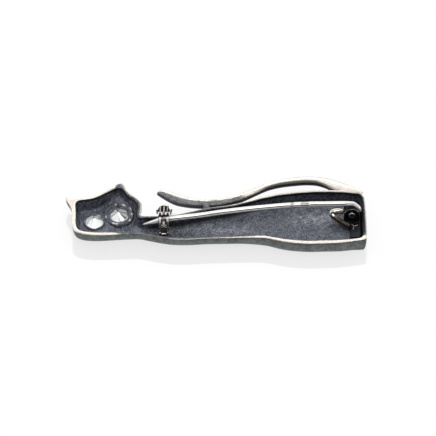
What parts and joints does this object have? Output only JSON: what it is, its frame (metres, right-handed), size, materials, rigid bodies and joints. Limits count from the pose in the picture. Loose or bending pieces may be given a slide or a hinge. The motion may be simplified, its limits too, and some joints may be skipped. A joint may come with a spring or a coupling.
{
  "type": "cat brooch",
  "caption": "Hollow cast cat brooch lying face down, with crystal eyes, a tail along its back, a riveted pin and a rotating safety catch.",
  "frame": {"origin": "centre of the bounding box, on the plane that the face-down brooch rests on", "axes": "+X along the body from head to rump, +Y towards the tail side, +Z out of the hollow back, which carries the pin"},
  "size_m": [0.0598, 0.0189, 0.007],
  "materials": {
    "oxidised_silver": "oxidised cast silver, polished rims",
    "dark_findings": "oxidised silver",
    "bright_findings": "satin silver",
    "pin_wire": "drawn wire",
    "crystal": "faceted, clear"
  },
  "bodies": {
    "shell": {"head_shell": "oxidised_silver", "body_shell": "oxidised_silver", "tail": "oxidised_silver", "tail_solder_bead": "oxidised_silver", "eye_collar_left": "oxidised_silver", "eye_collar_right": "oxidised_silver", "eye_crystal_left": "crystal", "eye_crystal_right": "crystal", "hinge_base": "dark_findings", "hinge_cheek_near": "dark_findings", "hinge_cheek_far": "dark_findings", "hinge_rivet": "bright_findings", "hinge_tongue": "dark_findings", "catch_base": "bright_findings", "catch_ring_left": "bright_findings", "catch_ring_right": "bright_findings"},
    "pin": {"pin_stem": "pin_wire"},
    "catch": {"catch_rotor": "bright_findings", "catch_tab": "bright_findings"}
  },
  "joints": [
    {"name": "pin_hinge", "type": "hinge", "parent": "shell", "child": "pin", "pos_m": [0.027, 0.00015, 0.00305], "axis": [0, 1, 0], "range_deg": [0, 45]},
    {"name": "catch_turn", "type": "hinge", "parent": "shell", "child": "catch", "pos_m": [-0.01035, -0.00385, 0.00455], "axis": [1, 0, 0], "range_deg": [0, 90]}
  ]
}
